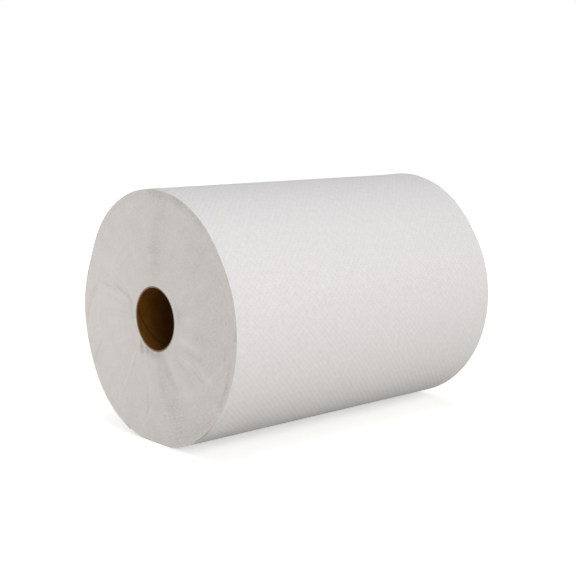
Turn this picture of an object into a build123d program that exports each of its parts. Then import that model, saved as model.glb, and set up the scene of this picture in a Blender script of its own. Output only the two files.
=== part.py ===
from build123d import *
import math
import os

# A roll of paper towel lying on its side: one long web of paper wound on a cardboard core.
# Z is up, Y runs along the roll's axis, and the origin is on the floor below the middle of
# the core. Lengths are millimetres. An angle round the roll is in degrees from +X towards
# +Z, so 90 is the top and 270 is the bottom.

# The web and its roll
web_width = 254.0  # 10 in, the width that the web was slit to
roll_radius = 91.3  # to the round stretches of the last lap
sheet_caliper = 0.2  # one sheet, and so what the outside gains over one lap

# The core
core_bore_radius = 22.225  # 1.75 in bore
core_wall = 1.1
core_setback = 0.3  # how far each cut end of the core lies inside the web's edge
core_clearance = 0.02  # between the core and the first turn wound on it

# The flat that the soft roll has pressed into itself where it rests
rest_flat_width = 34.0

# Lumps of the soft outside: (angle, height over the round, half angle of the lump)
back_dent = (156.0, -2.8, 15.0)
back_belly = (228.0, 1.9, 18.0)
front_flat = (34.0, -1.0, 16.0)

# The loose tail of the web, which ends low on the hidden side of the roll
tail_angle = 249.0  # where the cut edge of the sheet lies
tail_length = 34.0  # the stretch that has come away from the lap below
tail_lift = 0.7  # how far its cut edge stands off that lap
tail_pinch = 0.08  # the narrowest gap under the tail, where the sheets part

# The turns at each end. The web wandered sideways as it was wound, so they lie in bands.
band_count = 10
band_wander = 0.35  # most that a band lies off the middle, to either side
band_slope = 0.9  # radial run over which one band passes into the next
band_unevenness = 0.3  # share of a band's own run by which its edge strays
wander_step = 137.5  # degrees of the wander's sine from one band to the next
stray_step = 100.0  # degrees of the edge's sine from one band to the next

outline_step = 10.0  # degrees between the points that the outline passes through
trim_overrun = 8.0  # how far a cutting tool reaches past what it cuts

core_outer_radius = core_bore_radius + core_wall
web_inner_radius = core_outer_radius + core_clearance
axis_height = math.sqrt(roll_radius**2 - (rest_flat_width / 2) ** 2)
tail_spread = math.degrees(tail_length / roll_radius)
block_length = web_width + trim_overrun  # of the web before its ends are trimmed


def lap_radius(angle):
    """Radius of the soft, slightly uneven roll at an angle, below its last lap."""
    radius = roll_radius - sheet_caliper / 2
    for lump_angle, height, half_angle in (back_dent, back_belly, front_flat):
        away = (angle - lump_angle + 180.0) % 360.0 - 180.0
        radius += height * math.exp(-((away / half_angle) ** 2))
    return radius


def last_lap_radius(angle):
    """Outside of the last lap, which starts at the tail's edge and spirals outwards."""
    return lap_radius(angle) + sheet_caliper * (angle - tail_angle) / 360.0


def lift_of_tail(angle):
    """Gap under the loose tail: it opens from nothing towards the cut edge."""
    along = (angle - (tail_angle + 360.0 - tail_spread)) / tail_spread
    return tail_lift * max(0.0, along) ** 2


def round_the_roll(radius, angle):
    """Point of the roll's section, in the plane square to its axis."""
    turn = math.radians(angle)
    return (radius * math.cos(turn), axis_height + radius * math.sin(turn))


def section_curve(first, last, radius_at):
    """Smooth curve round the roll from one angle to another."""
    steps = max(4, round(abs(last - first) / outline_step))
    angles = [first + (last - first) * i / steps for i in range(steps + 1)]
    return Spline([round_the_roll(radius_at(a), a) for a in angles])


def web_section():
    """Section of the wound web, at the far end: its last lap, the loose tail and the bore."""
    tail_end = tail_angle + 360.0
    lift_starts = tail_end - tail_spread
    parts_at = lift_starts + tail_spread * math.sqrt(tail_pinch / tail_lift)

    def under_tail(angle):
        return last_lap_radius(angle) - sheet_caliper + lift_of_tail(angle)

    def below_tail(angle):
        return last_lap_radius(angle) - sheet_caliper

    def over_tail(angle):
        return last_lap_radius(angle) + lift_of_tail(angle)

    with BuildSketch(Plane.XZ.offset(-block_length / 2)) as section:
        with BuildLine():
            lap = section_curve(tail_angle, lift_starts, last_lap_radius)
            top_of_tail = section_curve(lift_starts, tail_end, over_tail)
            under = section_curve(tail_end, parts_at, under_tail)
            Line(top_of_tail @ 1, under @ 0)
            below = section_curve(parts_at, tail_end, below_tail)
            Line(under @ 1, below @ 0)
            Line(below @ 1, lap @ 0)
        make_face()
        with Locations((0, axis_height)):
            Circle(web_inner_radius, mode=Mode.SUBTRACT)
    return section.sketch


def band_edges():
    """Radii where one band of turns gives way to the next, from the bore outwards."""
    run = (roll_radius - web_inner_radius) / band_count
    strays = [band_unevenness * math.sin(math.radians(stray_step * k)) for k in range(1, band_count)]
    return [web_inner_radius + run * (k + stray) for k, stray in enumerate(strays, start=1)]


def wander_of(band):
    """Sideways place of a band of turns, the same at both of its edges."""
    return band_wander * math.sin(math.radians(wander_step * band))


def end_trim(end):
    """Tool that leaves the stepped bands of turns at one end, end being -1 or 1."""
    cut_plane = end * web_width / 2
    innermost = web_inner_radius - trim_overrun
    outermost = roll_radius + trim_overrun
    profile = [(cut_plane + wander_of(0), innermost)]
    for band, edge in enumerate(band_edges()):
        profile.append((cut_plane + wander_of(band), edge - band_slope / 2))
        profile.append((cut_plane + wander_of(band + 1), edge + band_slope / 2))
    profile.append((cut_plane + wander_of(band_count - 1), outermost))
    outside = cut_plane + end * trim_overrun
    profile += [(outside, outermost), (outside, innermost)]
    with BuildPart() as tool:
        with BuildSketch(Plane.YZ):
            with BuildLine():
                Polyline([(y, axis_height + radius) for y, radius in profile], close=True)
            make_face()
        revolve(axis=Axis((0, 0, axis_height), (0, 1, 0)))
    return tool.part


def wound_web():
    """The whole web as one solid: its lap and tail outside, its bands of turns at the ends."""
    web = extrude(web_section(), amount=block_length)
    below_floor = Box(
        4 * roll_radius,
        2 * block_length,
        2 * roll_radius,
        align=(Align.CENTER, Align.CENTER, Align.MAX),
    )
    return web - end_trim(-1) - end_trim(1) - below_floor


def core_tube():
    """The cardboard core, cut square and a little shorter than the web is wide."""
    with BuildPart() as core:
        with BuildSketch(Plane.XZ):
            with Locations((0, axis_height)):
                Circle(core_outer_radius)
                Circle(core_bore_radius, mode=Mode.SUBTRACT)
        extrude(amount=web_width / 2 - core_setback, both=True)
    return core.part


os.makedirs("parts", exist_ok=True)
export_step(wound_web(), "parts/wound_web.step")
export_step(core_tube(), "parts/core_tube.step")
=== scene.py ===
import math
import random

import bmesh
import bpy
import numpy as np
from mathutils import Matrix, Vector


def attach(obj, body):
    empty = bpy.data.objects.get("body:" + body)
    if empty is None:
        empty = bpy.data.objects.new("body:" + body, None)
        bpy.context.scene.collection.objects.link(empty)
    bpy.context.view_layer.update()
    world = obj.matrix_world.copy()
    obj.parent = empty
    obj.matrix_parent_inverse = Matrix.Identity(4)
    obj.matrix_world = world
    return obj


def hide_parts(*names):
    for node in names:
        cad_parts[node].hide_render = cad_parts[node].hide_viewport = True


# A roll of paper towel on its side: the last lap of embossed sheet, the turns below it and the core.
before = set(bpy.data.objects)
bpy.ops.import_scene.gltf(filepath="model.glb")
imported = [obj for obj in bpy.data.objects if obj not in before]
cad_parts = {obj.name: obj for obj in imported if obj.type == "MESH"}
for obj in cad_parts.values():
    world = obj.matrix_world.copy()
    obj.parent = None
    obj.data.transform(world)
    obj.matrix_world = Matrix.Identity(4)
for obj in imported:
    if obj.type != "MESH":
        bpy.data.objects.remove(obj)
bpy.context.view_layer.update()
mm = 0.001


# node helpers
def addNode(tree, kind, **settings):
    made = tree.nodes.new(kind)
    for name, value in settings.items():
        setattr(made, name, value)
    return made


def feed(tree, socket, value):
    if isinstance(value, bpy.types.NodeSocket):
        tree.links.new(value, socket)
    else:
        socket.default_value = value


def calc(tree, operation, *terms, clamp=False):
    made = addNode(tree, "ShaderNodeMath", operation=operation, use_clamp=clamp)
    for socket, term in zip(made.inputs, terms):
        feed(tree, socket, term)
    return made.outputs[0]


def vectorCalc(tree, operation, *terms):
    made = addNode(tree, "ShaderNodeVectorMath", operation=operation)
    for socket, term in zip(made.inputs, terms):
        feed(tree, socket, term)
    return made.outputs["Value" if operation == "LENGTH" else "Vector"]


def scaled(tree, vector, amount):
    made = addNode(tree, "ShaderNodeVectorMath", operation="SCALE")
    feed(tree, made.inputs["Vector"], vector)
    feed(tree, made.inputs["Scale"], amount)
    return made.outputs["Vector"]


def split(tree, vector):
    made = addNode(tree, "ShaderNodeSeparateXYZ")
    feed(tree, made.inputs[0], vector)
    return made.outputs


def joined(tree, x, y, z):
    made = addNode(tree, "ShaderNodeCombineXYZ")
    for socket, value in zip(made.inputs, (x, y, z)):
        feed(tree, socket, value)
    return made.outputs[0]


def weighed(tree, *parts):
    total = calc(tree, "MULTIPLY", *parts[0])
    for part in parts[1:]:
        total = calc(tree, "ADD", total, calc(tree, "MULTIPLY", *part))
    return total


def choose(tree, chosen, plain, other):
    change = calc(tree, "MULTIPLY", chosen, calc(tree, "SUBTRACT", other, plain))
    return calc(tree, "ADD", plain, change)


def bellOf(tree, offSquared):
    return calc(tree, "EXPONENT", calc(tree, "MULTIPLY", offSquared, -1.0))


def onCircle(tree, angle, radius, along, axis):
    sideways = calc(tree, "MULTIPLY", calc(tree, "COSINE", angle), radius)
    upward = calc(tree, "MULTIPLY", calc(tree, "SINE", angle), radius)
    return joined(tree, sideways, along, calc(tree, "ADD", upward, axis))


# place for a noise that runs round the roll's axis: how fine it is round, how far out, and a shift
def roundAxis(tree, aimParts, fineness, outward, shift=None):
    upward = calc(tree, "MULTIPLY", aimParts[2], fineness)
    if shift is not None:
        upward = calc(tree, "ADD", upward, shift)
    return joined(tree, calc(tree, "MULTIPLY", aimParts[0], fineness), upward, outward)


def noiseOf(tree, vector, scale, detail=2.0, roughness=0.5):
    made = addNode(tree, "ShaderNodeTexNoise")
    feed(tree, made.inputs["Vector"], vector)
    feed(tree, made.inputs["Scale"], scale)
    feed(tree, made.inputs["Detail"], detail)
    feed(tree, made.inputs["Roughness"], roughness)
    return made.outputs[0]


def newTree(name, kind, inputs, outputs):
    tree = bpy.data.node_groups.new(name, kind)
    for socketName, socketKind, value in inputs:
        socket = tree.interface.new_socket(name=socketName, in_out="INPUT", socket_type=socketKind)
        if value is not None:
            socket.default_value = value
    for socketName, socketKind in outputs:
        tree.interface.new_socket(name=socketName, in_out="OUTPUT", socket_type=socketKind)
    return tree, tree.nodes.new("NodeGroupInput").outputs, tree.nodes.new("NodeGroupOutput").inputs


def positionIn(tree):
    return addNode(tree, "GeometryNodeInputPosition").outputs[0]


def gridOf(tree, columns, rows):
    made = addNode(tree, "GeometryNodeMeshGrid")
    for name, count in (("X", columns), ("Y", rows)):
        feed(tree, made.inputs["Vertices " + name], count)
        feed(tree, made.inputs["Size " + name], calc(tree, "SUBTRACT", count, 1.0))
    return made.outputs["Mesh"]


def moveTo(tree, geometry, position):
    made = addNode(tree, "GeometryNodeSetPosition")
    feed(tree, made.inputs["Geometry"], geometry)
    feed(tree, made.inputs["Position"], position)
    return made.outputs["Geometry"]


def weld(tree, geometry, distance):
    made = addNode(tree, "GeometryNodeMergeByDistance")
    feed(tree, made.inputs["Geometry"], geometry)
    made.inputs["Distance"].default_value = distance
    return made.outputs["Geometry"]


def objectGeometry(tree, objectSocket):
    made = addNode(tree, "GeometryNodeObjectInfo", transform_space="ORIGINAL")
    feed(tree, made.inputs["Object"], objectSocket)
    return made.outputs["Geometry"]


def store(tree, geometry, name, value, kind="FLOAT", domain="POINT"):
    made = addNode(tree, "GeometryNodeStoreNamedAttribute", data_type=kind, domain=domain)
    feed(tree, made.inputs["Geometry"], geometry)
    made.inputs["Name"].default_value = name
    feed(tree, made.inputs["Value"], value)
    return made.outputs["Geometry"]


def namedValue(tree, name, kind="FLOAT"):
    made = addNode(tree, "GeometryNodeInputNamedAttribute", data_type=kind)
    made.inputs["Name"].default_value = name
    return made.outputs["Attribute"]


def sampleAt(tree, geometry, value, index, kind="FLOAT"):
    made = addNode(tree, "GeometryNodeSampleIndex", data_type=kind, domain="POINT")
    feed(tree, made.inputs["Geometry"], geometry)
    feed(tree, made.inputs["Value"], value)
    feed(tree, made.inputs["Index"], index)
    return made.outputs[0]


def finishTree(tree, geometry, materialSocket, outputSocket):
    real = addNode(tree, "GeometryNodeRealizeInstances")
    feed(tree, real.inputs["Geometry"], geometry)
    painted = addNode(tree, "GeometryNodeSetMaterial")
    feed(tree, painted.inputs["Geometry"], real.outputs["Geometry"])
    feed(tree, painted.inputs["Material"], materialSocket)
    feed(tree, outputSocket, painted.outputs["Geometry"])


def growPiece(name, tree, values):
    holder = bpy.data.objects.new(name + "Maker", bpy.data.meshes.new(name + "Seed"))
    bpy.context.scene.collection.objects.link(holder)
    maker = holder.modifiers.new("maker", "NODES")
    maker.node_group = tree
    for item in tree.interface.items_tree:
        if item.item_type == "SOCKET" and item.in_out == "INPUT" and item.name in values:
            maker[item.identifier] = values[item.name]
    bpy.context.view_layer.update()
    ready = holder.evaluated_get(bpy.context.evaluated_depsgraph_get())
    piece = bpy.data.objects.new(name, bpy.data.meshes.new_from_object(ready))
    bpy.context.scene.collection.objects.link(piece)
    bpy.data.objects.remove(holder)
    piece.data.name = name
    # an instanced tile leaves an empty slot in front of the material
    piece.data.materials.clear()
    piece.data.materials.append(values["Material"])
    return piece


def plainMesh(name, points, faces=()):
    mesh = bpy.data.meshes.new(name)
    mesh.from_pydata(points, [], faces)
    made = bpy.data.objects.new(name, mesh)
    bpy.context.scene.collection.objects.link(made)
    return made


def smoothBelow(piece, degrees):
    piece.data.shade_smooth()
    piece.data.set_sharp_from_angle(angle=math.radians(degrees))


camera = {
    "lens": 74.77,
    "sensor": 36.0,
    "farthest": 50.0,
    "fromAxis": (7.43249, -6.62571, 1.66449),  # in roll radii, from the middle of the core
    "look": (-0.738487, 0.656098, -0.155476),
}

roll = {
    "radius": 91.3 * mm,
    "width": 254.0 * mm,
    "sheet": 0.2 * mm,  # what the outside gains over one lap
    "coreBore": 22.225 * mm,
    "coreWall": 1.1 * mm,
    "coreSetback": 0.3 * mm,
    "coreClearance": 0.02 * mm,
    "restFlat": 34.0 * mm,
    "restFrom": 0.2,  # sine of the angle below level from which the floor can press
    "restSoftness": 0.25 * mm,
    # angle of each lump, its height over the round and its half angle
    "lumps": [(156.0, -2.8 * mm, 15.0), (228.0, 1.9 * mm, 18.0), (34.0, -1.0 * mm, 16.0)],
}
axisHeight = math.sqrt(roll["radius"] ** 2 - (roll["restFlat"] / 2) ** 2)

lens = bpy.data.cameras.new("photoView")
lens.lens = camera["lens"]
lens.sensor_width = camera["sensor"]
lens.clip_end = camera["farthest"]
eye = bpy.data.objects.new("photoView", lens)
eye.location = Vector(camera["fromAxis"]) * roll["radius"] + Vector((0, 0, axisHeight))
eye.rotation_euler = Vector(camera["look"]).to_track_quat("-Z", "Y").to_euler()
bpy.context.scene.collection.objects.link(eye)
bpy.context.scene.camera = eye
print("camera placed")

# shared effect for all the paper
fibres = {
    "clumpTone": 0.6,
    "crepeTone": 0.4,
    "crepeHeight": 0.75,
    "fleckHeight": 0.25,
    "flecksPerRidge": 3.0,
}
fibreInputs = [
    ("Vector", "NodeSocketVector", None),
    ("Crepe Pitch", "NodeSocketFloat", 0.5 * mm),
    ("Crepe Stretch", "NodeSocketFloat", 6.0),
    ("Clump Size", "NodeSocketFloat", 3.0 * mm),
]
fibreOutputs = [("Tone", "NodeSocketFloat"), ("Height", "NodeSocketFloat")]
fibreGroup, given, result = newTree("paperFibres", "ShaderNodeTree", fibreInputs, fibreOutputs)
# crepe ridges run across the sheet, so the pattern is stretched along X
stretch = joined(fibreGroup, given["Crepe Stretch"], 1.0, 1.0)
across = vectorCalc(fibreGroup, "DIVIDE", given["Vector"], stretch)
crepeScale = calc(fibreGroup, "DIVIDE", 1.0, given["Crepe Pitch"])
clumpScale = calc(fibreGroup, "DIVIDE", 1.0, given["Clump Size"])
fleckScale = calc(fibreGroup, "DIVIDE", fibres["flecksPerRidge"], given["Crepe Pitch"])
crepe = noiseOf(fibreGroup, across, crepeScale, detail=3.0, roughness=0.6)
clumps = noiseOf(fibreGroup, given["Vector"], clumpScale, detail=4.0, roughness=0.55)
flecks = noiseOf(fibreGroup, given["Vector"], fleckScale, detail=2.0, roughness=0.7)
tone = weighed(fibreGroup, (clumps, fibres["clumpTone"]), (crepe, fibres["crepeTone"]))
height = weighed(fibreGroup, (crepe, fibres["crepeHeight"]), (flecks, fibres["fleckHeight"]))
feed(fibreGroup, result["Tone"], tone)
feed(fibreGroup, result["Height"], height)


def newMaterial(name, settings):
    material = bpy.data.materials.new(name)
    material.use_nodes = True
    tree = material.node_tree
    shader = tree.nodes["Principled BSDF"]
    shader.inputs["Roughness"].default_value = settings["roughness"]
    shader.inputs["Specular IOR Level"].default_value = settings["specular"]
    shader.inputs["Sheen Weight"].default_value = settings["sheen"]
    shader.inputs["Sheen Roughness"].default_value = 0.5
    return material, tree, shader


def fibresIn(tree, vector, settings):
    group = addNode(tree, "ShaderNodeGroup", node_tree=fibreGroup)
    feed(tree, group.inputs["Vector"], vector)
    group.inputs["Crepe Pitch"].default_value = settings["crepePitch"]
    group.inputs["Crepe Stretch"].default_value = settings["crepeStretch"]
    group.inputs["Clump Size"].default_value = settings["clumpSize"]
    return group.outputs["Tone"], group.outputs["Height"]


def marked(tree, name):
    return addNode(tree, "ShaderNodeAttribute", attribute_name=name).outputs["Fac"]


def mixColours(tree, factor, *colours):
    made = addNode(tree, "ShaderNodeMix", data_type="RGBA")
    feed(tree, made.inputs["Factor"], factor)
    for socket, colour in zip((made.inputs[6], made.inputs[7]), colours):
        feed(tree, socket, (*colour, 1.0) if isinstance(colour, tuple) else colour)
    return made.outputs[2]


def colourOf(tree, tone, settings):
    spread = addNode(tree, "ShaderNodeMapRange")
    feed(tree, spread.inputs["Value"], tone)
    spread.inputs["From Min"].default_value = settings["lowTone"]
    spread.inputs["From Max"].default_value = settings["highTone"]
    return mixColours(tree, spread.outputs["Result"], settings["low"], settings["high"])


def bumpOn(tree, shader, height, distance, under=None):
    made = addNode(tree, "ShaderNodeBump")
    made.inputs["Distance"].default_value = distance
    feed(tree, made.inputs["Height"], height)
    if under is not None:
        feed(tree, made.inputs["Normal"], under)
    feed(tree, shader.inputs["Normal"], made.outputs["Normal"])
    return made.outputs["Normal"]


# the outline that all the paper follows
tail = {
    "angle": 249.0,
    "length": 34.0 * mm,
    "lift": 0.7 * mm,
    "startsUnder": 23.0,  # degrees of the lap that lie below the tail at its start
}
# where a rim of the last lap stands off: which end, angle, half angle, height, and how far in
rimGaps = {
    "Near Gap": {"end": 0.0, "angle": 309.0, "spread": 8.0, "open": 0.60 * mm, "reach": 22.0 * mm},
    "Far Gap": {"end": 1.0, "angle": 80.0, "spread": 23.0, "open": 0.65 * mm, "reach": 8.0 * mm},
}
tailSpread = math.degrees(tail["length"] / roll["radius"])


def lapRadius(angle):
    radius = roll["radius"] - roll["sheet"] / 2
    for lumpAngle, lumpHeight, halfAngle in roll["lumps"]:
        away = (angle - lumpAngle + 180.0) % 360.0 - 180.0
        radius += lumpHeight * math.exp(-((away / halfAngle) ** 2))
    return radius + roll["sheet"] * (angle - tail["angle"]) / 360.0


def tailLift(angle):
    along = (angle - (tail["angle"] + 360.0 - tailSpread)) / tailSpread
    return tail["lift"] * max(0.0, along) ** 2


def onFloor(radius, angle, clear=0.0):
    down = -math.sin(math.radians(angle))
    if down < roll["restFrom"]:
        return radius
    floor = (axisHeight - clear) / down
    soft = roll["restSoftness"]
    lower = min(radius, floor)
    return lower - soft * math.log(math.exp((lower - radius) / soft) + math.exp((lower - floor) / soft))


def rollPoint(radius, angle):
    turn = math.radians(angle)
    return (radius * math.cos(turn), 0.0, axisHeight + radius * math.sin(turn))


# the last lap, embossed all over
lap = {
    "tilesAcross": 57,
    "tileLength": 4.49 * mm,
    "thickness": 0.30 * mm,  # of the embossed sheet, dimples and all
    "dimpleDepth": 0.20 * mm,
    "dimpleRing": 0.17,  # share of a tile from a dimple's middle to its ring
    "ringDepth": 0.40,  # share of the depth left at that ring
    "springScale": 160.0,  # of the noise by which the dimples differ in depth
    "pathStep": 0.5,  # degrees
    "stray": 0.5 * mm,  # sideways on its way round
    "strayScale": 7.0,
    "weld": 0.01,  # in tiles
    "nearRows": (0, 1, 2, 3, 5, 7),  # tile borders from the near rim where the inner side has a row
    "farRows": (3, 2, 1, 0),  # and from the far rim
    "sameShare": 1e-4,  # within which a point belongs to a row or a cut
}
lapStart = tail["angle"] - tail["startsUnder"]
lapEnd = tail["angle"] + 360.0
pathCount = round((lapEnd - lapStart) / lap["pathStep"])
lapPoints = []
for i in range(pathCount + 1):
    angle = lapStart + (lapEnd - lapStart) * i / pathCount
    lapPoints.append(rollPoint(onFloor(lapRadius(angle), angle) + tailLift(angle), angle))
pathLength = sum(math.dist(a, b) for a, b in zip(lapPoints, lapPoints[1:]))
tilesAlong = round(pathLength / lap["tileLength"])

pathCurve = bpy.data.curves.new("lapPath", "CURVE")
pathCurve.dimensions = "3D"
spline = pathCurve.splines.new("POLY")
spline.points.add(len(lapPoints) - 1)
for point, spot in zip(spline.points, lapPoints):
    point.co = (*spot, 1.0)
lapPath = bpy.data.objects.new("lapPath", pathCurve)
bpy.context.scene.collection.objects.link(lapPath)

# One tile holds a dimple at its middle and a quarter of one at each corner, so the dimples stagger.
near, far = lap["dimpleRing"], 1 - lap["dimpleRing"]
less, more = 0.5 - lap["dimpleRing"], 0.5 + lap["dimpleRing"]
ring = -lap["ringDepth"]
tilePoints = []
for x, y, z in [
    (0, 0, -1), (1, 0, -1), (1, 1, -1), (0, 1, -1), (0.5, 0.5, -1),
    (near, 0, ring), (0.5, 0, 0), (far, 0, ring), (1, near, ring), (1, 0.5, 0), (1, far, ring),
    (far, 1, ring), (0.5, 1, 0), (near, 1, ring), (0, far, ring), (0, 0.5, 0), (0, near, ring),
    (less, 0.5, ring), (0.5, less, ring), (more, 0.5, ring), (0.5, more, ring),
]:
    tilePoints.append((x - 0.5, y - 0.5, z))
tileFaces = [
    (0, 5, 16), (1, 8, 7), (2, 11, 10), (3, 14, 13),
    (4, 17, 18), (4, 18, 19), (4, 19, 20), (4, 20, 17),
    (5, 6, 18), (5, 18, 17), (5, 17, 16), (15, 16, 17),
    (6, 7, 18), (7, 19, 18), (7, 8, 19), (8, 9, 19),
    (9, 10, 19), (10, 20, 19), (10, 11, 20), (11, 12, 20),
    (12, 13, 20), (13, 17, 20), (13, 14, 17), (14, 15, 17),
]
dimpleTile = plainMesh("dimpleTile", tilePoints, tileFaces)

lapInputs = [
    ("Tile", "NodeSocketObject", None),
    ("Path", "NodeSocketObject", None),
    ("Tiles Across", "NodeSocketInt", 10),
    ("Tiles Along", "NodeSocketInt", 10),
    ("Width", "NodeSocketFloat", 0.1),
    ("Length", "NodeSocketFloat", 0.1),
    ("Thickness", "NodeSocketFloat", 0.0002),
    ("Dimple Depth", "NodeSocketFloat", 0.0001),
    ("Wander", "NodeSocketFloat", 0.0),
    ("Material", "NodeSocketMaterial", None),
]
for name in rimGaps:
    for part in ("End", "Share", "Spread", "Open", "Reach"):
        lapInputs.append((f"{name} {part}", "NodeSocketFloat", 0.01))
meshOutput = [("Geometry", "NodeSocketGeometry")]
lapTree, given, result = newTree("embossedLap", "GeometryNodeTree", lapInputs, meshOutput)
tiles = addNode(lapTree, "GeometryNodeInstanceOnPoints")
feed(lapTree, tiles.inputs["Points"], gridOf(lapTree, given["Tiles Across"], given["Tiles Along"]))
feed(lapTree, tiles.inputs["Instance"], objectGeometry(lapTree, given["Tile"]))
real = addNode(lapTree, "GeometryNodeRealizeInstances")
feed(lapTree, real.inputs["Geometry"], tiles.outputs["Instances"])
merged = weld(lapTree, real.outputs["Geometry"], lap["weld"])
flat = split(lapTree, positionIn(lapTree))
acrossShare = calc(lapTree, "ADD", calc(lapTree, "DIVIDE", flat[0], given["Tiles Across"]), 0.5)
alongShare = calc(lapTree, "ADD", calc(lapTree, "DIVIDE", flat[1], given["Tiles Along"]), 0.5)
kept = store(lapTree, merged, "acrossShare", acrossShare)
kept = store(lapTree, kept, "alongShare", alongShare)
kept = store(lapTree, kept, "dimple", flat[2])
acrossShare = namedValue(lapTree, "acrossShare")
alongShare = namedValue(lapTree, "alongShare")
onPath = addNode(lapTree, "GeometryNodeSampleCurve", mode="FACTOR")
feed(lapTree, onPath.inputs["Curves"], objectGeometry(lapTree, given["Path"]))
feed(lapTree, onPath.inputs["Factor"], alongShare)
outward = vectorCalc(lapTree, "CROSS_PRODUCT", (0.0, 1.0, 0.0), onPath.outputs["Tangent"])
outward = vectorCalc(lapTree, "NORMALIZE", outward)
# the sheet wanders a little sideways on its way round
stray = noiseOf(lapTree, joined(lapTree, alongShare, 0.0, 0.0), lap["strayScale"])
stray = calc(lapTree, "SUBTRACT", stray, 0.5)
sideways = calc(lapTree, "MULTIPLY", calc(lapTree, "SUBTRACT", acrossShare, 0.5), given["Width"])
sideways = calc(lapTree, "ADD", sideways, calc(lapTree, "MULTIPLY", stray, lap["stray"]))
sideways = calc(lapTree, "ADD", sideways, given["Wander"])
onSheet = vectorCalc(lapTree, "ADD", onPath.outputs["Position"], joined(lapTree, 0.0, sideways, 0.0))
# each gap is a bell: the sheet stands off the turns below it for a short way at a rim
for name in rimGaps:
    gapAlong = calc(lapTree, "SUBTRACT", alongShare, given[f"{name} Share"])
    gapAlong = calc(lapTree, "DIVIDE", gapAlong, given[f"{name} Spread"])
    gapAcross = calc(lapTree, "SUBTRACT", acrossShare, given[f"{name} End"])
    gapAcross = calc(lapTree, "MULTIPLY", gapAcross, given["Width"])
    gapAcross = calc(lapTree, "DIVIDE", gapAcross, given[f"{name} Reach"])
    gapOff = calc(lapTree, "MULTIPLY", gapAcross, gapAcross)
    gapOff = calc(lapTree, "MULTIPLY_ADD", gapAlong, gapAlong, gapOff)
    gapShape = bellOf(lapTree, gapOff)
    gapLift = calc(lapTree, "MULTIPLY", gapShape, given[f"{name} Open"])
    onSheet = vectorCalc(lapTree, "ADD", onSheet, scaled(lapTree, outward, gapLift))
innerSpot = vectorCalc(lapTree, "SUBTRACT", onSheet, scaled(lapTree, outward, given["Thickness"]))
kept = store(lapTree, kept, "innerSpot", innerSpot, "FLOAT_VECTOR")
uv = joined(
    lapTree,
    calc(lapTree, "MULTIPLY", acrossShare, given["Width"]),
    calc(lapTree, "MULTIPLY", alongShare, given["Length"]),
    0.0,
)
kept = store(lapTree, kept, "sheetUv", uv, "FLOAT2", "CORNER")
# dimples differ a little in depth, as soft paper springs back
depthNoise = calc(lapTree, "ADD", noiseOf(lapTree, onSheet, lap["springScale"]), 0.5)
dent = calc(lapTree, "MULTIPLY", namedValue(lapTree, "dimple"), given["Dimple Depth"])
dent = calc(lapTree, "MULTIPLY", dent, depthNoise)
onDimple = vectorCalc(lapTree, "ADD", onSheet, scaled(lapTree, outward, dent))
placed = moveTo(lapTree, kept, onDimple)
finishTree(lapTree, placed, given["Material"], result["Geometry"])

sheetLook = {
    "low": (0.706, 0.685, 0.683),
    "high": (0.836, 0.818, 0.818),
    "lowTone": 0.0,
    "highTone": 0.65,
    "roughness": 0.92,
    "specular": 0.25,
    "sheen": 0.04,
    "crepePitch": 0.45 * mm,
    "crepeStretch": 5.0,
    "clumpSize": 3.5 * mm,
    "crepeBump": 0.05 * mm,
    "dimpleBump": 0.10 * mm,
    "dimpleShade": 0.13,
    "dimpleSharpness": 2.0,
}
sheetPaper, tree, shader = newMaterial("embossedSheet", sheetLook)
onUv = addNode(tree, "ShaderNodeUVMap", uv_map="sheetUv").outputs["UV"]
fibreTone, fibreHeight = fibresIn(tree, onUv, sheetLook)
place = split(tree, onUv)
acrossTiles = calc(tree, "DIVIDE", place[0], roll["width"] / lap["tilesAcross"])
alongTiles = calc(tree, "DIVIDE", place[1], pathLength / tilesAlong)
phases = (calc(tree, "ADD", acrossTiles, alongTiles), calc(tree, "SUBTRACT", acrossTiles, alongTiles))
waves = []
for phase in phases:
    swing = calc(tree, "COSINE", calc(tree, "MULTIPLY", phase, 2 * math.pi))
    waves.append(calc(tree, "ADD", calc(tree, "MULTIPLY", swing, 0.5), 0.5))
dimples = calc(tree, "POWER", calc(tree, "MULTIPLY", *waves), sheetLook["dimpleSharpness"])
# the base colour is darker in a dimple: partly the pressed paper's own greyer tone, partly painted shade
# where less light gets out
dimpleShade = calc(tree, "MULTIPLY", dimples, sheetLook["dimpleShade"])
sheetTone = calc(tree, "SUBTRACT", fibreTone, dimpleShade)
feed(tree, shader.inputs["Base Color"], colourOf(tree, sheetTone, sheetLook))
pressed = bumpOn(tree, shader, calc(tree, "MULTIPLY", dimples, -1.0), sheetLook["dimpleBump"])
bumpOn(tree, shader, fibreHeight, sheetLook["crepeBump"], pressed)


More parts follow.
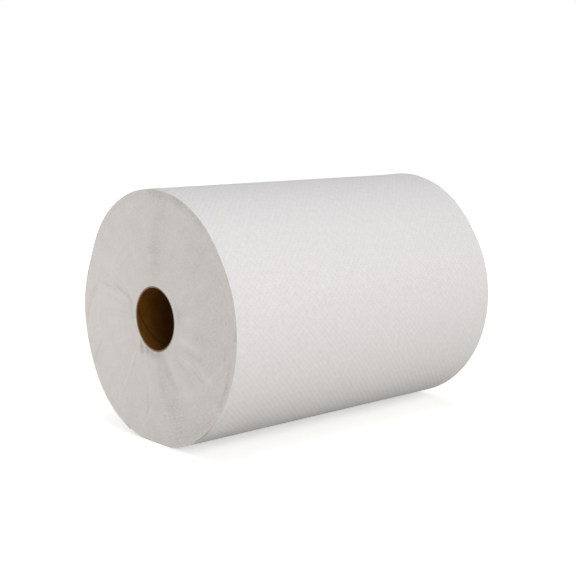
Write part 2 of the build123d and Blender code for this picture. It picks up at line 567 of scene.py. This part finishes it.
def closeSheet(piece):
    bm = bmesh.new()
    bm.from_mesh(piece.data)
    across = bm.verts.layers.float["acrossShare"]
    along = bm.verts.layers.float["alongShare"]
    inner = bm.verts.layers.float_vector["innerSpot"]

    def lineAt(layer, share, order):
        line = [v for v in bm.verts if abs(v[layer] - share) < lap["sameShare"]]
        return sorted(line, key=lambda v: v[order])

    # the plain inner side needs rows only at the rims, where the sheet lifts
    borders = [*lap["nearRows"], *(lap["tilesAcross"] - row for row in lap["farRows"])]
    outerRows = [lineAt(across, border / lap["tilesAcross"], along) for border in borders]
    cuts = [lineAt(along, share, across) for share in (0.0, 1.0)]
    innerRows = [[bm.verts.new(v[inner]) for v in row] for row in outerRows]
    nearOuter, farOuter = outerRows[0], outerRows[-1]
    for i in range(len(nearOuter) - 1):
        bm.faces.new((nearOuter[i], nearOuter[i + 1], innerRows[0][i + 1], innerRows[0][i]))
        bm.faces.new((farOuter[i + 1], farOuter[i], innerRows[-1][i], innerRows[-1][i + 1]))
        for near, far in zip(innerRows, innerRows[1:]):
            bm.faces.new((near[i], near[i + 1], far[i + 1], far[i]))
    for cut, at in zip(cuts, (0, -1)):
        for left, right in zip(cut, cut[1:]):
            bm.faces.new((innerRows[0][at], left, right))
        for near, far in zip(innerRows, innerRows[1:]):
            bm.faces.new((near[at], cut[-1], far[at]))
    for face in bm.faces:
        face.material_index = 0
        face.smooth = True
    bmesh.ops.recalc_face_normals(bm, faces=bm.faces)
    bm.to_mesh(piece.data)
    bm.free()


# the turns below it, seen at both ends
turns = {
    "spokes": 540,
    "rings": 84,
    "bandCount": 10,
    "wander": 0.045 * mm,
    "bandSlope": 2.8 * mm,
    "bandUnevenness": 0.3,
    "wanderStep": 137.5,  # degrees of the wander's sine from one band to the next
    "strayStep": 100.0,  # and of the sine by which a band's edge strays
    "ripple": 0.10 * mm,
    "pucker": 0.12 * mm,
    "underLap": 0.03 * mm,  # clear of the last lap's inner side
    "weld": 0.01 * mm,
}
# noise over the cut ends: how fine it is round and outwards, how far the two ends lie apart in it
turnNoise = {
    "Ripple": {"round": 1.3, "outward": 620.0, "apart": 7.0, "detail": 2.0},
    "Pucker": {"round": 5.5, "outward": 26.0, "apart": 3.0, "detail": 3.0},
}
webInner = roll["coreBore"] + roll["coreWall"] + roll["coreClearance"]

# creases in the cut ends: angle and radius of one end, then of the other, half width and height,
# and how much lighter or darker, partly the cut edges' own tone and partly painted light and shade;
# all but the angles and the tone in mm
nearCreases = [
    # left of the core
    (158.7, 33, 158.6, 53, 1.1, -0.35, -1.6), (158.4, 36, 164, 29, 1.2, -0.25, -1.5),
    (161, 30.5, 190, 27, 1.3, -0.15, -1.3), (162.5, 50, 165.0, 78, 1.3, -0.30, -1.1),
    (164.5, 75, 190, 90, 1.8, -0.25, -0.9), (180, 32, 180.5, 56, 1.0, -0.20, -0.5),
    (201, 74, 209, 91, 1.5, -0.30, -1.4),
    # below the core
    (227, 25, 240, 31.5, 1.7, -0.60, -3.6), (258.5, 46, 261.5, 75, 1.0, -0.25, -1.1),
    (272, 52, 261, 77, 0.9, 0.25, 0.6), (227.5, 34, 233, 53, 1.0, 0.30, 1.1),
    (233, 47, 234.6, 72, 1.0, 0.24, 0.8), (230, 35, 236, 56, 1.4, -0.15, -0.6),
    (236, 24.8, 294, 25.6, 2.1, -0.12, -2.0), (240, 26, 273, 27.2, 2.6, -0.12, -1.8),
    (252, 36, 266, 54, 3.2, 0.15, 0.6), (277, 18, 278, 58, 3.5, -0.12, -0.9),
    (281, 18, 296, 44, 3.6, -0.10, -1.1), (291, 38, 299, 54, 3.0, -0.12, -1.0),
    (285, 30, 285, 70, 7.5, -0.06, -0.5), (290, 60, 292, 95, 11.5, -0.04, -0.95),
    # along the rim below right: painted shadow where the outer laps stand proud
    (264, 76, 275, 90, 5.0, 0.0, -0.5), (300, 85, 318, 87, 5.5, 0.0, -1.4),
    (276, 84, 300, 86, 5.0, 0.0, -0.3),
    # right of the core
    (304, 30, 303, 50, 3.0, 0.20, 0.8), (306, 46, 308, 64, 5.0, 0.15, 0.7),
    (313, 36, 320, 52, 1.6, -0.20, -0.4), (322, 32, 329, 58, 1.5, 0.22, 0.6),
    (332, 54, 330.8, 76, 1.9, 0.18, 0.8), (325.5, 52, 326.5, 68, 0.9, -0.30, -1.1),
    (341, 28, 343.5, 58, 2.3, 0.32, 1.2), (332.5, 38, 338, 60, 1.7, -0.22, -0.8),
    (353, 45, 353, 68, 4.5, -0.06, -0.5), (350, 85.5, 339.5, 75, 1.3, 0.22, 1.1),
    (340.5, 75.5, 326, 67, 1.8, 0.12, 0.8), (351, 80.5, 342, 81.5, 0.9, -0.25, -1.2),
    # along the rim on the right: painted shadow, as under a sheet edge standing proud
    (361, 89.8, 358, 89.6, 0.7, -0.20, -2.4), (349, 86, 333, 87.2, 1.6, -0.10, -1.4),
    (339, 87.2, 322, 89, 1.6, -0.06, -0.8), (325.5, 82, 327.5, 89, 0.9, -0.20, -0.9),
    (356, 28, 390, 28, 2.5, -0.10, -1.1), (15, 30, 16, 33, 2.5, -0.10, -1.0),
    (5, 36, 8, 44, 3.0, 0.10, 0.6), (20, 42, 22, 50, 2.2, 0.10, 0.6),
    (28, 56, 29, 74, 3.0, 0.10, 0.5), (1, 48, -9, 52, 4.0, -0.05, -0.5),
    (40, 58, 42, 76, 4.0, -0.05, -0.4),
    # above the core
    (87, 38, 89, 55, 7.0, -0.06, -1.0), (83, 30, 92, 31, 3.5, -0.10, -0.8),
    (100, 50.5, 80, 47, 3.2, -0.08, -0.8), (94, 42, 73, 33, 2.4, -0.06, -0.5),
    (88, 54, 88, 72, 4.0, -0.10, -0.5), (82, 70, 86, 97, 8.5, -0.04, -0.7),
    # broad changes of tone, painted light and shade: lighter over the left, darker over the right and along
    # the rim at the top, with one lighter patch up on the right
    (96, 90.5, 66, 89.5, 3.6, 0.0, -1.6), (74, 89.5, 48, 89.5, 3.8, 0.0, -1.2),
    (98, 89, 135, 89, 2.0, 0.0, -0.5), (60, 60, 72, 70, 7.0, 0.0, 0.4),
    (60, 72, -40, 72, 20.0, 0.0, -0.4), (120, 58, 230, 58, 26.0, 0.0, 0.4),
]
# the creases of the far end are drawn at random within these limits, in degrees and mm
farMarks = {
    "seed": 11,
    "count": 26,
    "sway": 7,
    "start": (25, 45),
    "reach": (14, 42),
    "halfWidth": (1.1, 3.4),
    "height": (0.12, 0.32),
    "markToneAndShading": (0.4, 1.1),
}
draw = random.Random(farMarks["seed"])
sway = farMarks["sway"]
farCreases = []
for i in range(farMarks["count"]):
    angle = 360.0 * i / farMarks["count"] + draw.uniform(-sway, sway)
    start = draw.uniform(*farMarks["start"])
    way = draw.choice((-1, 1))
    ends = (angle, start, angle + draw.uniform(-sway, sway), start + draw.uniform(*farMarks["reach"]))
    halfWidth = draw.uniform(*farMarks["halfWidth"])
    lift = way * draw.uniform(*farMarks["height"])
    # a raised crease is painted lighter and a sunk one darker: painted light and shade
    farCreases.append((*ends, halfWidth, lift, way * draw.uniform(*farMarks["markToneAndShading"])))

creaseRun = {
    "step": 1.5,  # mm from one bell to the next along a crease
    "leastSteps": 8,
    "endShare": 0.15,  # of the height left at both ends
    "endRise": 4.5,
}


def creaseField():
    angles = np.radians(np.arange(turns["spokes"]) * 360.0 / turns["spokes"])[:, None]
    radii = np.linspace(webInner, roll["radius"], turns["rings"])[None, :] / mm
    x, z = radii * np.cos(angles), radii * np.sin(angles)
    fields = []
    for creases in (nearCreases, farCreases):
        height, shade = np.zeros_like(x), np.zeros_like(x)
        for angleA, radiusA, angleB, radiusB, halfWidth, lift, markToneAndShading in creases:
            runRound = abs(math.radians(angleB - angleA)) * max(radiusA, radiusB)
            run = max(abs(radiusB - radiusA), runRound)
            steps = max(creaseRun["leastSteps"], round(run / creaseRun["step"]))
            bell = np.zeros_like(x)
            for i in range(steps + 1):
                share = i / steps
                turn = math.radians(angleA + (angleB - angleA) * share)
                radius = radiusA + (radiusB - radiusA) * share
                off = np.hypot(x - radius * math.cos(turn), z - radius * math.sin(turn)) / halfWidth
                fade = min(1.0, creaseRun["endRise"] * min(share, 1 - share) + creaseRun["endShare"])
                bell = np.maximum(bell, fade * np.exp(-off * off))
            height += lift * mm * bell
            shade += markToneAndShading * bell
        fields.append((height, shade))
    count = 2 * x.size
    field = plainMesh("creaseField", [(0.0, 0.0, 0.0)] * count)
    for name, index in (("lift", 0), ("shade", 1)):
        values = np.concatenate([fields[0][index].ravel(), fields[1][index].ravel()])
        field.data.attributes.new(name, "FLOAT", "POINT").data.foreach_set("value", values)
    return field


def bandPlace(band):
    return math.sin(math.radians(turns["wanderStep"] * band))


def turnProfile():
    wound = roll["radius"] - webInner
    run = wound / turns["bandCount"]
    edges = []
    for k in range(1, turns["bandCount"]):
        edges.append(run * (k + turns["bandUnevenness"] * math.sin(math.radians(turns["strayStep"] * k))))
    points = []
    for k in range(turns["rings"]):
        out = wound * k / (turns["rings"] - 1)
        shift = 0.0
        for band, edge in enumerate(edges):
            share = min(1.0, max(0.0, (out - edge) / turns["bandSlope"] + 0.5))
            shift += (bandPlace(band + 1) - bandPlace(band)) * share * share * (3 - 2 * share)
        points.append((out, shift * turns["wander"], 0.0))
    return plainMesh("turnProfile", points)


def turnOutline():
    points = []
    for j in range(turns["spokes"]):
        angle = 360.0 * j / turns["spokes"]
        lapAngle = angle if angle >= lapStart else angle + 360.0
        radius = onFloor(lapRadius(lapAngle) - lap["thickness"], angle, lap["thickness"])
        points.append(rollPoint(radius - turns["underLap"], angle))
    return plainMesh("turnOutline", points)


turnInputs = [
    ("Outline", "NodeSocketObject", None),
    ("Profile", "NodeSocketObject", None),
    ("Creases", "NodeSocketObject", None),
    ("Spokes", "NodeSocketInt", 12),
    ("Rings", "NodeSocketInt", 12),
    ("Width", "NodeSocketFloat", 0.1),
    ("Bore Radius", "NodeSocketFloat", 0.02),
    ("Axis Height", "NodeSocketFloat", 0.1),
    ("Ripple", "NodeSocketFloat", 0.0001),
    ("Pucker", "NodeSocketFloat", 0.0001),
    ("Material", "NodeSocketMaterial", None),
]
turnTree, given, result = newTree("woundTurns", "GeometryNodeTree", turnInputs, meshOutput)
# rows run from the bore out over the near end, then back in over the far end, and close
lastRow = calc(turnTree, "MULTIPLY", given["Rings"], 2.0)
rowCount = calc(turnTree, "ADD", lastRow, 1.0)
grid = gridOf(turnTree, rowCount, calc(turnTree, "ADD", given["Spokes"], 1.0))
position = positionIn(turnTree)
flat = split(turnTree, position)
halfSpokes = calc(turnTree, "DIVIDE", given["Spokes"], 2.0)
rawRow = calc(turnTree, "ROUND", calc(turnTree, "ADD", flat[0], given["Rings"]))
rawSpoke = calc(turnTree, "ROUND", calc(turnTree, "ADD", flat[1], halfSpokes))
kept = store(turnTree, grid, "row", rawRow)
kept = store(turnTree, kept, "spoke", rawSpoke)
row = calc(turnTree, "MODULO", namedValue(turnTree, "row"), lastRow)
spoke = namedValue(turnTree, "spoke")
isFar = calc(turnTree, "GREATER_THAN", row, calc(turnTree, "SUBTRACT", given["Rings"], 0.5))
fromFar = calc(turnTree, "SUBTRACT", calc(turnTree, "SUBTRACT", lastRow, 1.0), row)
ring = choose(turnTree, isFar, row, fromFar)
side = calc(turnTree, "SUBTRACT", calc(turnTree, "MULTIPLY", isFar, 2.0), 1.0)
outShare = calc(turnTree, "DIVIDE", ring, calc(turnTree, "SUBTRACT", given["Rings"], 1.0))
turnAngle = calc(turnTree, "DIVIDE", calc(turnTree, "MULTIPLY", spoke, 2 * math.pi), given["Spokes"])
atBore = onCircle(turnTree, turnAngle, given["Bore Radius"], 0.0, given["Axis Height"])
spokeIndex = calc(turnTree, "MODULO", spoke, given["Spokes"])
outline = objectGeometry(turnTree, given["Outline"])
atRim = sampleAt(turnTree, outline, position, spokeIndex, "FLOAT_VECTOR")
outFromBore = vectorCalc(turnTree, "SUBTRACT", atRim, atBore)
inPlane = vectorCalc(turnTree, "ADD", atBore, scaled(turnTree, outFromBore, outShare))
kept = store(turnTree, kept, "inPlane", inPlane, "FLOAT_VECTOR")
kept = store(turnTree, kept, "side", side)
kept = store(turnTree, kept, "ring", ring)
inPlane = namedValue(turnTree, "inPlane", "FLOAT_VECTOR")
side = namedValue(turnTree, "side")
ring = namedValue(turnTree, "ring")
profile = objectGeometry(turnTree, given["Profile"])
shift = split(turnTree, sampleAt(turnTree, profile, position, ring, "FLOAT_VECTOR"))[1]
# the field holds one point for each spoke and ring, the near end first
fieldIndex = calc(turnTree, "MULTIPLY", calc(turnTree, "ADD", side, 1.0), halfSpokes)
fieldIndex = calc(turnTree, "ADD", fieldIndex, spokeIndex)
fieldIndex = calc(turnTree, "ADD", calc(turnTree, "MULTIPLY", fieldIndex, given["Rings"]), ring)
creaseGeometry = objectGeometry(turnTree, given["Creases"])
lift = sampleAt(turnTree, creaseGeometry, namedValue(turnTree, "lift"), fieldIndex)
shade = sampleAt(turnTree, creaseGeometry, namedValue(turnTree, "shade"), fieldIndex)
# the crease field's tone, partly the cut edges' own and partly painted light and shade, goes to the cut
# material
kept = store(turnTree, kept, "creaseToneAndShading", shade)
place = split(turnTree, inPlane)
offAxis = joined(turnTree, place[0], 0.0, calc(turnTree, "SUBTRACT", place[2], given["Axis Height"]))
fromAxis = vectorCalc(turnTree, "LENGTH", offAxis)
aimParts = split(turnTree, vectorCalc(turnTree, "NORMALIZE", offAxis))
# each turn strays a little by itself, and soft puckers lie between the creases
outOfPlane = lift
for name, noise in turnNoise.items():
    outward = calc(turnTree, "MULTIPLY", fromAxis, noise["outward"])
    apart = calc(turnTree, "MULTIPLY", side, noise["apart"])
    spot = roundAxis(turnTree, aimParts, noise["round"], outward, apart)
    wave = calc(turnTree, "SUBTRACT", noiseOf(turnTree, spot, 1.0, noise["detail"]), 0.5)
    outOfPlane = calc(turnTree, "ADD", outOfPlane, calc(turnTree, "MULTIPLY", wave, given[name]))
endPlace = calc(turnTree, "ADD", calc(turnTree, "DIVIDE", given["Width"], 2.0), outOfPlane)
sidePlace = calc(turnTree, "ADD", calc(turnTree, "MULTIPLY", side, endPlace), shift)
spot = vectorCalc(turnTree, "ADD", inPlane, joined(turnTree, 0.0, sidePlace, 0.0))
merged = weld(turnTree, moveTo(turnTree, kept, spot), turns["weld"])
finishTree(turnTree, merged, given["Material"], result["Geometry"])

cutLook = {
    "low": (0.475, 0.429, 0.386),
    "high": (0.853, 0.829, 0.812),
    "lowTone": -0.37,
    "highTone": 0.93,
    "roughness": 0.97,
    "specular": 0.15,
    "sheen": 0.10,
    "crepePitch": 0.6 * mm,
    "crepeStretch": 1.0,
    "clumpSize": 14.0 * mm,
    "turnPitch": 0.40 * mm,
    "turnRound": 2.0,
    "turnBump": 0.10 * mm,
    "fibreBump": 0.10 * mm,
    "fanRound": 9.0,
    "fanOutward": 22.0,
    "grainPitch": 1.1 * mm,
    "grainRound": 36.0,  # grains in one radian of a turn
    "grainDepth": 0.50,
    "fibreShare": 0.45,
    "turnShare": 0.25,
    "fanShare": 0.18,
    "creaseShadingDepth": 0.16,
    "creaseShadingFan": 2.0,
    "creaseShadingGrain": -2.6,
    "creaseShadeGrey": 0.5,
}
cutPaper, tree, shader = newMaterial("cutTurns", cutLook)
coords = addNode(tree, "ShaderNodeTexCoord").outputs["Object"]
centre = addNode(tree, "ShaderNodeMapping")
centre.inputs["Location"].default_value = (0.0, 0.0, -axisHeight)
feed(tree, centre.inputs["Vector"], coords)
fibreTone, fibreHeight = fibresIn(tree, centre.outputs["Vector"], cutLook)
place = split(tree, centre.outputs["Vector"])
offAxis = joined(tree, place[0], 0.0, place[2])
fromAxis = vectorCalc(tree, "LENGTH", offAxis)
aimParts = split(tree, vectorCalc(tree, "NORMALIZE", offAxis))
turnsOut = calc(tree, "DIVIDE", fromAxis, cutLook["turnPitch"])
turnSpot = roundAxis(tree, aimParts, cutLook["turnRound"], turnsOut)
turnLines = noiseOf(tree, turnSpot, 1.0, detail=3.0, roughness=0.6)
fansOut = calc(tree, "MULTIPLY", fromAxis, cutLook["fanOutward"])
fanSpot = roundAxis(tree, aimParts, cutLook["fanRound"], fansOut)
fan = noiseOf(tree, fanSpot, 1.0, detail=4.0, roughness=0.6)
# the cut edges of the turns are grainy, most of all where the end is creased
grainsOut = calc(tree, "DIVIDE", fromAxis, cutLook["grainPitch"])
grainSpot = roundAxis(tree, aimParts, cutLook["grainRound"], grainsOut)
grain = noiseOf(tree, grainSpot, 1.0, detail=2.0, roughness=0.6)
grain = calc(tree, "SUBTRACT", grain, 0.5)
toneParts = (
    (fibreTone, cutLook["fibreShare"]),
    (turnLines, cutLook["turnShare"]),
    (fan, cutLook["fanShare"]),
)
tone = weighed(tree, *toneParts)
# the creases' own tone with painted light and shade, from the crease field
creaseToneAndShading = calc(tree, "MULTIPLY", marked(tree, "creaseToneAndShading"), cutLook["creaseShadingDepth"])
patchy = calc(tree, "MULTIPLY", grain, cutLook["creaseShadingGrain"])
patchy = calc(tree, "MULTIPLY_ADD", fan, cutLook["creaseShadingFan"], patchy)
creaseToneAndShading = calc(tree, "MULTIPLY", creaseToneAndShading, patchy)
tone = calc(tree, "ADD", tone, creaseToneAndShading)
tone = calc(tree, "ADD", tone, calc(tree, "MULTIPLY", grain, cutLook["grainDepth"]))
# the dark of a crease is painted shade, so it is greyer than the cut edges round it
leftColour = calc(tree, "MULTIPLY_ADD", creaseToneAndShading, cutLook["creaseShadeGrey"], 1.0, clamp=True)
greyer = addNode(tree, "ShaderNodeHueSaturation")
feed(tree, greyer.inputs["Color"], colourOf(tree, tone, cutLook))
feed(tree, greyer.inputs["Saturation"], leftColour)
feed(tree, shader.inputs["Base Color"], greyer.outputs["Color"])
lines = bumpOn(tree, shader, turnLines, cutLook["turnBump"])
bumpOn(tree, shader, fibreHeight, cutLook["fibreBump"], lines)

# the cardboard core
core = {
    "spokes": 160,
    "rows": 300,
    "seamPitch": 52.0 * mm,
    "seamHalfWidth": 0.65 * mm,
    "seamDepth": 0.20 * mm,
    "seamTurn": 0.6215,
    "weld": 0.01 * mm,
}
coreInputs = [
    ("Spokes", "NodeSocketInt", 12),
    ("Rows", "NodeSocketInt", 12),
    ("Length", "NodeSocketFloat", 0.1),
    ("Bore Radius", "NodeSocketFloat", 0.02),
    ("Wall", "NodeSocketFloat", 0.001),
    ("Axis Height", "NodeSocketFloat", 0.1),
    ("Seam Pitch", "NodeSocketFloat", 0.1),
    ("Seam Half Width", "NodeSocketFloat", 0.001),
    ("Seam Depth", "NodeSocketFloat", 0.0001),
    ("Seam Turn", "NodeSocketFloat", 0.0),
    ("Material", "NodeSocketMaterial", None),
]
coreTree, given, result = newTree("spiralCore", "GeometryNodeTree", coreInputs, meshOutput)
# most rows run along the inside; two lie along the outside, and the last closes the loop
rowCount = calc(coreTree, "ADD", given["Rows"], 3.0)
lastRow = calc(coreTree, "SUBTRACT", rowCount, 1.0)
grid = gridOf(coreTree, rowCount, calc(coreTree, "ADD", given["Spokes"], 1.0))
flat = split(coreTree, positionIn(coreTree))
rawRow = calc(coreTree, "ADD", flat[0], calc(coreTree, "DIVIDE", lastRow, 2.0))
row = calc(coreTree, "MODULO", calc(coreTree, "ROUND", rawRow), lastRow)
turnAngle = calc(coreTree, "DIVIDE", calc(coreTree, "MULTIPLY", flat[1], 2 * math.pi), given["Spokes"])
isOuter = calc(coreTree, "GREATER_THAN", row, calc(coreTree, "SUBTRACT", given["Rows"], 0.5))
isNearOuter = calc(coreTree, "GREATER_THAN", row, calc(coreTree, "ADD", given["Rows"], 0.5))
lastInner = calc(coreTree, "SUBTRACT", given["Rows"], 1.0)
alongShare = calc(coreTree, "DIVIDE", calc(coreTree, "MINIMUM", row, lastInner), lastInner)
alongShare = calc(coreTree, "MULTIPLY", alongShare, calc(coreTree, "SUBTRACT", 1.0, isNearOuter))
onAxis = calc(coreTree, "MULTIPLY", calc(coreTree, "SUBTRACT", alongShare, 0.5), given["Length"])
# the seam is a shallow groove that winds along the inside
turnsMade = calc(coreTree, "DIVIDE", turnAngle, 2 * math.pi)
seamPhase = calc(coreTree, "SUBTRACT", turnsMade, calc(coreTree, "DIVIDE", onAxis, given["Seam Pitch"]))
seamPhase = calc(coreTree, "ADD", seamPhase, given["Seam Turn"])
seamOff = calc(coreTree, "ABSOLUTE", calc(coreTree, "SUBTRACT", calc(coreTree, "FRACT", seamPhase), 0.5))
seamOff = calc(coreTree, "MULTIPLY", seamOff, given["Seam Pitch"])
groove = calc(coreTree, "DIVIDE", seamOff, given["Seam Half Width"])
groove = bellOf(coreTree, calc(coreTree, "MULTIPLY", groove, groove))
inner = calc(coreTree, "ADD", given["Bore Radius"], calc(coreTree, "MULTIPLY", groove, given["Seam Depth"]))
outer = calc(coreTree, "ADD", given["Bore Radius"], given["Wall"])
radius = choose(coreTree, isOuter, inner, outer)
spot = onCircle(coreTree, turnAngle, radius, onAxis, given["Axis Height"])
seamMark = calc(coreTree, "MULTIPLY", groove, calc(coreTree, "SUBTRACT", 1.0, isOuter))
kept = store(coreTree, grid, "seam", seamMark)
# past the last inner row lie three strips of faces: a cut end, the outside and the other cut end
pastInner = calc(coreTree, "SUBTRACT", rawRow, lastInner)
offOutside = calc(coreTree, "ABSOLUTE", calc(coreTree, "SUBTRACT", pastInner, 1.5))
cutEnd = calc(coreTree, "GREATER_THAN", offOutside, 0.75)
cutEnd = calc(coreTree, "MULTIPLY", cutEnd, calc(coreTree, "GREATER_THAN", pastInner, 0.25))
kept = store(coreTree, kept, "cutEnd", cutEnd, "FLOAT", "FACE")
kept = store(coreTree, kept, "spot", spot, "FLOAT_VECTOR")
placed = moveTo(coreTree, kept, namedValue(coreTree, "spot", "FLOAT_VECTOR"))
merged = weld(coreTree, placed, core["weld"])
finishTree(coreTree, merged, given["Material"], result["Geometry"])

boardLook = {
    "low": (0.116, 0.042, 0.004),
    "high": (0.197, 0.079, 0.013),
    "lowTone": 0.3,
    "highTone": 0.7,
    "seamColour": (0.078, 0.032, 0.006),
    "cutColour": (0.28, 0.218, 0.175),
    "roughness": 0.9,
    "specular": 0.06,
    "sheen": 0.0,
    "crepePitch": 0.8 * mm,
    "crepeStretch": 3.0,
    "clumpSize": 6.0 * mm,
    "fibreBump": 0.05 * mm,
}
kraftBoard, tree, shader = newMaterial("kraftBoard", boardLook)
coords = addNode(tree, "ShaderNodeTexCoord").outputs["Object"]
fibreTone, fibreHeight = fibresIn(tree, coords, boardLook)
brown = colourOf(tree, fibreTone, boardLook)
brown = mixColours(tree, marked(tree, "seam"), brown, boardLook["seamColour"])
brown = mixColours(tree, marked(tree, "cutEnd"), brown, boardLook["cutColour"])
feed(tree, shader.inputs["Base Color"], brown)
bumpOn(tree, shader, fibreHeight, boardLook["fibreBump"])

# grow the pieces
outlineMesh, profileMesh, creases = turnOutline(), turnProfile(), creaseField()
lastShift = turns["wander"] * bandPlace(turns["bandCount"] - 1)
smoothAngle = 50.0

lapValues = {
    "Tile": dimpleTile,
    "Path": lapPath,
    "Tiles Across": lap["tilesAcross"],
    "Tiles Along": tilesAlong,
    "Width": roll["width"],
    "Length": pathLength,
    "Thickness": lap["thickness"],
    "Dimple Depth": lap["dimpleDepth"],
    "Wander": lastShift,
    "Material": sheetPaper,
}
lapSpread = lapEnd - lapStart
for name, gap in rimGaps.items():
    lapValues[f"{name} End"] = gap["end"]
    lapValues[f"{name} Share"] = ((gap["angle"] - lapStart) % 360.0) / lapSpread
    lapValues[f"{name} Spread"] = gap["spread"] / lapSpread
    lapValues[f"{name} Open"] = gap["open"]
    lapValues[f"{name} Reach"] = gap["reach"]
lastLap = growPiece("lastLap", lapTree, lapValues)
closeSheet(lastLap)
smoothBelow(lastLap, smoothAngle)
print("last lap grown:", tilesAlong, "tiles long,", len(lastLap.data.polygons), "faces")

woundTurns = growPiece("woundTurns", turnTree, {
    "Outline": outlineMesh,
    "Profile": profileMesh,
    "Creases": creases,
    "Spokes": turns["spokes"],
    "Rings": turns["rings"],
    "Width": roll["width"],
    "Bore Radius": webInner,
    "Axis Height": axisHeight,
    "Ripple": turns["ripple"],
    "Pucker": turns["pucker"],
    "Material": cutPaper,
})
smoothBelow(woundTurns, smoothAngle)
print("turns grown:", len(woundTurns.data.polygons), "faces")

paperCore = growPiece("paperCore", coreTree, {
    "Spokes": core["spokes"],
    "Rows": core["rows"],
    "Length": roll["width"] - 2 * roll["coreSetback"],
    "Bore Radius": roll["coreBore"],
    "Wall": roll["coreWall"],
    "Axis Height": axisHeight,
    "Seam Pitch": core["seamPitch"],
    "Seam Half Width": core["seamHalfWidth"],
    "Seam Depth": core["seamDepth"],
    "Seam Turn": core["seamTurn"],
    "Material": kraftBoard,
})
smoothBelow(paperCore, smoothAngle)
print("core grown:", len(paperCore.data.polygons), "faces")

for helper in (dimpleTile, lapPath, outlineMesh, profileMesh, creases):
    bpy.data.objects.remove(helper)

# every piece is closed, with its faces outwards
for piece in (lastLap, woundTurns, paperCore):
    bm = bmesh.new()
    bm.from_mesh(piece.data)
    if bm.calc_volume(signed=True) < 0:
        bmesh.ops.reverse_faces(bm, faces=bm.faces)
        bm.to_mesh(piece.data)
    loose = sum(1 for e in bm.edges if not e.is_manifold)
    print(piece.name, "open edges", loose, "volume cm3", round(abs(bm.calc_volume()) * 1e6, 1))
    bm.free()

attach(lastLap, "root")
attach(woundTurns, "root")
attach(paperCore, "root")
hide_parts("wound_web")
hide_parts("wound_web")
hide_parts("core_tube")

# stage and light
stage = {
    "size": 12.0,
    "floorColour": (0.70, 0.685, 0.655),
    "nearWhite": 0.55,
    "nearReach": 0.28,
    "farReach": 0.75,
    "worldLevel": 0.15,
}
scene = bpy.context.scene
scene.view_settings.view_transform = "Standard"

white = (1.0, 1.0, 1.0, 1.0)
half = stage["size"] / 2
corners = [(-half, -half, 0), (half, -half, 0), (half, half, 0), (-half, half, 0)]
floor = plainMesh("floor", corners, [(0, 1, 2, 3)])
floorPaint = bpy.data.materials.new("paleFloor")
floorPaint.use_nodes = True
tree = floorPaint.node_tree
tree.nodes.clear()
output = addNode(tree, "ShaderNodeOutputMaterial")
matte = addNode(tree, "ShaderNodeBsdfDiffuse")
matte.inputs["Color"].default_value = (*stage["floorColour"], 1.0)
glow = addNode(tree, "ShaderNodeEmission")
glow.inputs["Color"].default_value = white
rays = addNode(tree, "ShaderNodeLightPath")
# the floor fades to plain white away from the roll's shadow
spot = split(tree, addNode(tree, "ShaderNodeTexCoord").outputs["Object"])
fade = addNode(tree, "ShaderNodeMapRange", interpolation_type="SMOOTHSTEP")
fromMiddle = vectorCalc(tree, "LENGTH", joined(tree, spot[0], spot[1], 0.0))
feed(tree, fade.inputs["Value"], fromMiddle)
fade.inputs["From Min"].default_value = stage["nearReach"]
fade.inputs["From Max"].default_value = stage["farReach"]
fade.inputs["To Min"].default_value = stage["nearWhite"]
shown = calc(tree, "MULTIPLY", rays.outputs["Is Camera Ray"], fade.outputs["Result"])
feed(tree, glow.inputs["Strength"], shown)
both = addNode(tree, "ShaderNodeAddShader")
feed(tree, both.inputs[0], matte.outputs[0])
feed(tree, both.inputs[1], glow.outputs[0])
feed(tree, output.inputs["Surface"], both.outputs[0])
floor.data.materials.append(floorPaint)

world = bpy.data.worlds.new("studio")
scene.world = world
world.use_nodes = True
tree = world.node_tree
tree.nodes.clear()
output = addNode(tree, "ShaderNodeOutputWorld")
seen = addNode(tree, "ShaderNodeBackground")
seen.inputs["Color"].default_value = white
light = addNode(tree, "ShaderNodeBackground")
light.inputs["Color"].default_value = white
light.inputs["Strength"].default_value = stage["worldLevel"]
rays = addNode(tree, "ShaderNodeLightPath")
mix = addNode(tree, "ShaderNodeMixShader")
feed(tree, mix.inputs["Fac"], rays.outputs["Is Camera Ray"])
feed(tree, mix.inputs[1], light.outputs[0])
feed(tree, mix.inputs[2], seen.outputs[0])
feed(tree, output.inputs["Surface"], mix.outputs[0])

# each lamp: azimuth and elevation it shines from in degrees, distance and width in metres, watts
lamps = {
    "keyLamp": (-10.0, 25.0, 1.7, 1.3, 17.6),
    "topLamp": (-10.0, 85.0, 1.7, 1.3, 8.0),
    "nearLamp": (-84.0, 0.0, 1.7, 0.6, 10.2),
    "rakeLamp": (-150.0, 10.0, 0.5, 0.35, 0.83),
    "farLamp": (90.0, 0.0, 1.7, 0.6, 13.0),
    "backLamp": (140.0, 30.0, 1.7, 1.3, 5.0),
}
for name, (azimuth, elevation, distance, width, watts) in lamps.items():
    data = bpy.data.lights.new(name, "AREA")
    data.shape = "SQUARE"
    data.size = width
    data.energy = watts
    lamp = bpy.data.objects.new(name, data)
    turn, rise = math.radians(azimuth), math.radians(elevation)
    aim = Vector((math.cos(turn) * math.cos(rise), math.sin(turn) * math.cos(rise), math.sin(rise)))
    lamp.location = Vector((0, 0, axisHeight)) + aim * distance
    lamp.rotation_euler = (-aim).to_track_quat("-Z", "Y").to_euler()
    scene.collection.objects.link(lamp)
print("stage and lamps placed")
